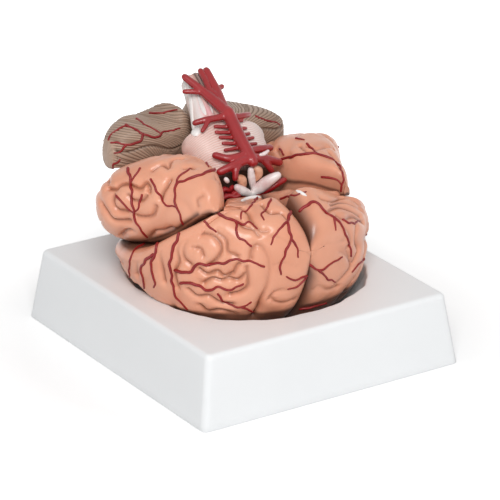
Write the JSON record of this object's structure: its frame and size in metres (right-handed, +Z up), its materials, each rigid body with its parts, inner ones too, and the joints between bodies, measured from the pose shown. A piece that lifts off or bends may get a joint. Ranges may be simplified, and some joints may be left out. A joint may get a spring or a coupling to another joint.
{
  "type": "brain anatomy model",
  "caption": "Life-size take-apart brain anatomy model with raised arteries, lying crown down in the oval recess of a square white stand.",
  "frame": {"origin": "centre of the bounding box at the underside of the stand", "axes": "+Z up, front of the brain towards -Y, left side of the brain towards -X"},
  "size_m": [0.164, 0.183, 0.1451],
  "materials": {
    "stand_plastic": "satin",
    "brain_plastic": "satin",
    "stem_plastic": "satin",
    "cerebellum_plastic": "satin",
    "artery_plastic": "gloss",
    "peg_plastic": "satin"
  },
  "bodies": {
    "stand_and_core": {"stand": "stand_plastic", "left_frontoparietal_lobe": "brain_plastic", "right_frontoparietal_lobe": "brain_plastic", "left_brainstem_half": "stem_plastic", "right_brainstem_half": "stem_plastic", "left_temporal_pegs": "peg_plastic", "right_temporal_pegs": "peg_plastic", "left_cerebellum_peg": "peg_plastic", "right_cerebellum_peg": "peg_plastic", "hemisphere_pegs": "peg_plastic", "brainstem_peg": "peg_plastic"},
    "left_temporal": {"left_temporo_occipital_lobe": "brain_plastic"},
    "right_temporal": {"right_temporo_occipital_lobe": "brain_plastic"},
    "left_cerebellum": {"left_cerebellum_half": "cerebellum_plastic"},
    "right_cerebellum": {"right_cerebellum_half": "cerebellum_plastic"},
    "arteries": {"basilar_artery_tree": "artery_plastic"}
  },
  "joints": [
    {"name": "left_temporal_pull", "type": "slide", "parent": "stand_and_core", "child": "left_temporal", "axis": [-0.9976, 0, 0.0698], "range_m": [0, 0.03]},
    {"name": "right_temporal_pull", "type": "slide", "parent": "stand_and_core", "child": "right_temporal", "axis": [0.9976, 0, -0.0698], "range_m": [0, 0.03]},
    {"name": "left_cerebellum_pull", "type": "slide", "parent": "stand_and_core", "child": "left_cerebellum", "axis": [0, 1, 0], "range_m": [0, 0.03]},
    {"name": "right_cerebellum_pull", "type": "slide", "parent": "stand_and_core", "child": "right_cerebellum", "axis": [0, 1, 0], "range_m": [0, 0.03]},
    {"name": "artery_tree_pull", "type": "slide", "parent": "stand_and_core", "child": "arteries", "axis": [0, -0.6157, 0.788], "range_m": [0, 0.02]}
  ]
}
